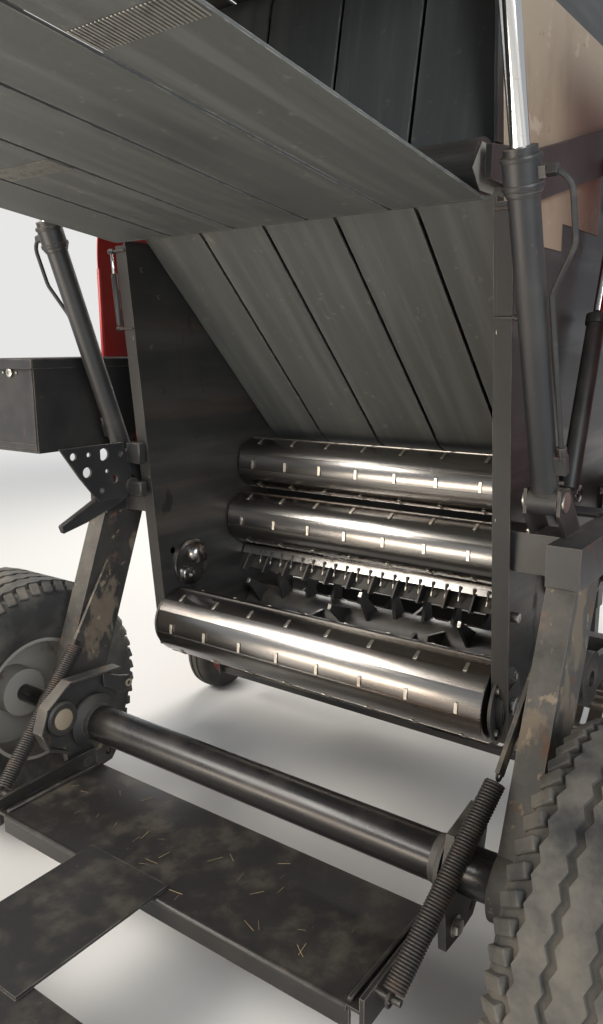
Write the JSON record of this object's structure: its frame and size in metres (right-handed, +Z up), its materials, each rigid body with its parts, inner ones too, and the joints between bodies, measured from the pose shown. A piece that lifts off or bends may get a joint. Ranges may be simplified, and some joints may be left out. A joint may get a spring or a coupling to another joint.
{
  "type": "round baler",
  "caption": "Towed variable-chamber belt round baler, parked with its tailgate up, tined pickup, drawbar and bale ramp.",
  "frame": {"origin": "middle of the whole machine's plan at ground level", "axes": "+X forward to the hitch, +Y to the machine's left, +Z up"},
  "size_m": [5.0172, 2.55, 3.5156],
  "materials": {
    "chamber_steel": "dark sheet polished by hay",
    "frame_black": "worn black paint",
    "shield_red": "red paint",
    "roll_steel": "polished by hay",
    "belt_rubber": "dusty belting",
    "rod_chrome": "chrome",
    "tyre_rubber": "worn",
    "rim_paint": "dull paint",
    "tine_steel": "dull",
    "cast_grey": "painted casting",
    "hose_rubber": "hydraulic hose",
    "lamp_red": "red lens",
    "spring_steel": "rusty"
  },
  "bodies": {
    "frame": {"left_wall": "chamber_steel", "right_wall": "chamber_steel", "front_sheet": "shield_red", "side_beams": "frame_black", "frame_legs": "frame_black", "axle": "frame_black", "axle_brackets": "frame_black", "drawbar": "frame_black", "jack_sleeve": "frame_black", "gearbox": "cast_grey", "net_box": "shield_red", "side_box": "frame_black", "belt_rolls": "roll_steel", "tension_arms": "frame_black", "front_belts": "belt_rubber", "scraper_bar": "frame_black", "feed_floor": "chamber_steel", "spring_strap_left": "spring_steel", "spring_strap_right": "spring_steel"},
    "tailgate": {"gate_left_wall": "chamber_steel", "gate_right_wall": "chamber_steel", "gate_frame": "frame_black", "gate_skin": "frame_black", "gate_rolls": "roll_steel", "gate_belts": "belt_rubber", "hanging_belts": "belt_rubber", "rear_lamps": "lamp_red"},
    "lift_barrel_left": {"lift_barrel_left": "frame_black", "lift_hose_left": "hose_rubber"},
    "lift_barrel_right": {"lift_barrel_right": "frame_black", "lift_hose_right": "hose_rubber"},
    "lift_rod_left": {"lift_rod_left": "rod_chrome"},
    "lift_rod_right": {"lift_rod_right": "rod_chrome"},
    "wheel_left": {"tyre_left": "tyre_rubber", "rim_left": "rim_paint"},
    "wheel_right": {"tyre_right": "tyre_rubber", "rim_right": "rim_paint"},
    "ramp": {"ramp": "frame_black", "ramp_spring_left": "spring_steel", "ramp_spring_right": "spring_steel"},
    "pickup": {"pickup_sides": "frame_black", "pickup_bars": "frame_black", "pickup_bands": "tine_steel"},
    "pickup_reel": {"pickup_reel": "tine_steel"},
    "gauge_wheel_left": {"gauge_wheel_left": "tyre_rubber"},
    "gauge_wheel_right": {"gauge_wheel_right": "tyre_rubber"},
    "wind_guard": {"wind_guard": "frame_black"},
    "floor_roll": {"floor_roll": "roll_steel"},
    "starter_roll": {"starter_roll": "roll_steel"},
    "stripper_roll": {"stripper_roll": "roll_steel"},
    "feed_rotor": {"feed_rotor": "frame_black"},
    "jack_leg": {"jack_leg": "frame_black"},
    "side_shield_left": {"side_shield_left": "shield_red"},
    "side_shield_right": {"side_shield_right": "shield_red"},
    "net_box_lid": {"net_box_lid": "shield_red"}
  },
  "joints": [
    {"name": "tailgate_hinge", "type": "hinge", "parent": "frame", "child": "tailgate", "pos_m": [-0.403, 0, 2.62], "axis": [0, -1, 0], "range_deg": [0, 71], "deforming": ["hanging_belts"]},
    {"name": "ramp_hinge", "type": "hinge", "parent": "frame", "child": "ramp", "pos_m": [-0.553, 0, 0.3], "axis": [0, -1, 0], "range_deg": [0, 10], "stiffness_Nm_per_rad": 1500, "springref_deg": -20.05, "deforming": ["ramp_spring_left", "ramp_spring_right"]},
    {"name": "pickup_pivot", "type": "hinge", "parent": "frame", "child": "pickup", "pos_m": [0.297, 0, 0.62], "axis": [0, -1, 0], "range_deg": [0, 12]},
    {"name": "pickup_reel_axle", "type": "hinge", "parent": "pickup", "child": "pickup_reel", "pos_m": [0.737, 0, 0.35], "axis": [0, 1, 0], "continuous": true},
    {"name": "gauge_left_axle", "type": "hinge", "parent": "pickup", "child": "gauge_wheel_left", "pos_m": [0.687, 1.15, 0.2], "axis": [0, 1, 0], "continuous": true},
    {"name": "gauge_right_axle", "type": "hinge", "parent": "pickup", "child": "gauge_wheel_right", "pos_m": [0.687, -1.15, 0.2], "axis": [0, 1, 0], "continuous": true},
    {"name": "wind_guard_pivot", "type": "hinge", "parent": "pickup", "child": "wind_guard", "pos_m": [0.527, 0, 0.7], "axis": [0, -1, 0], "range_deg": [0, 20]},
    {"name": "wheel_left_axle", "type": "hinge", "parent": "frame", "child": "wheel_left", "pos_m": [-0.503, 1.08, 0.42], "axis": [0, 1, 0], "continuous": true},
    {"name": "wheel_right_axle", "type": "hinge", "parent": "frame", "child": "wheel_right", "pos_m": [-0.503, -1.08, 0.42], "axis": [0, 1, 0], "continuous": true},
    {"name": "floor_roll_axle", "type": "hinge", "parent": "frame", "child": "floor_roll", "pos_m": [-0.143, 0, 0.68], "axis": [0, 1, 0], "continuous": true},
    {"name": "starter_roll_axle", "type": "hinge", "parent": "frame", "child": "starter_roll", "pos_m": [0.217, 0, 0.99], "axis": [0, 1, 0], "continuous": true},
    {"name": "stripper_roll_axle", "type": "hinge", "parent": "frame", "child": "stripper_roll", "pos_m": [0.287, 0, 1.19], "axis": [0, 1, 0], "continuous": true},
    {"name": "feed_rotor_axle", "type": "hinge", "parent": "frame", "child": "feed_rotor", "pos_m": [0.297, 0, 0.62], "axis": [0, 1, 0], "continuous": true},
    {"name": "jack_slide", "type": "slide", "parent": "frame", "child": "jack_leg", "axis": [0, 0, 1], "range_m": [0, 0.4]},
    {"name": "side_shield_left_hinge", "type": "hinge", "parent": "frame", "child": "side_shield_left", "pos_m": [0.843, 0.984, 1.25], "axis": [0, 0, -1], "range_deg": [0, 100]},
    {"name": "side_shield_right_hinge", "type": "hinge", "parent": "frame", "child": "side_shield_right", "pos_m": [0.843, -0.984, 1.25], "axis": [0, 0, 1], "range_deg": [0, 100]},
    {"name": "net_box_lid_hinge", "type": "hinge", "parent": "frame", "child": "net_box_lid", "pos_m": [0.75, 0, 2.142], "axis": [0, -1, 0], "range_deg": [0, 80]},
    {"name": "lift_barrel_left_pin", "type": "hinge", "parent": "frame", "child": "lift_barrel_left", "pos_m": [-0.238, 0.73, 1.26], "axis": [0, -1, 0], "range_deg": [-6, 0]},
    {"name": "lift_rod_left_slide", "type": "slide", "parent": "lift_barrel_left", "child": "lift_rod_left", "axis": [-0.3272, 0, 0.9449], "range_m": [-0.34, 0]},
    {"name": "lift_barrel_right_pin", "type": "hinge", "parent": "frame", "child": "lift_barrel_right", "pos_m": [-0.238, -0.73, 1.26], "axis": [0, -1, 0], "range_deg": [-6, 0]},
    {"name": "lift_rod_right_slide", "type": "slide", "parent": "lift_barrel_right", "child": "lift_rod_right", "axis": [-0.3272, 0, 0.9449], "range_m": [-0.34, 0]}
  ],
  "couplings": [
    {"joint": "starter_roll_axle", "follows": "floor_roll_axle", "ratio": 1.1828},
    {"joint": "stripper_roll_axle", "follows": "floor_roll_axle", "ratio": 1.1828},
    {"joint": "feed_rotor_axle", "follows": "floor_roll_axle", "ratio": -0.5},
    {"joint": "lift_barrel_left_pin", "follows": "tailgate_hinge", "ratio": -0.07296},
    {"joint": "lift_rod_left_slide", "follows": "tailgate_hinge", "m_per_rad": -0.27187},
    {"joint": "lift_barrel_right_pin", "follows": "tailgate_hinge", "ratio": -0.07296},
    {"joint": "lift_rod_right_slide", "follows": "tailgate_hinge", "m_per_rad": -0.27187}
  ]
}
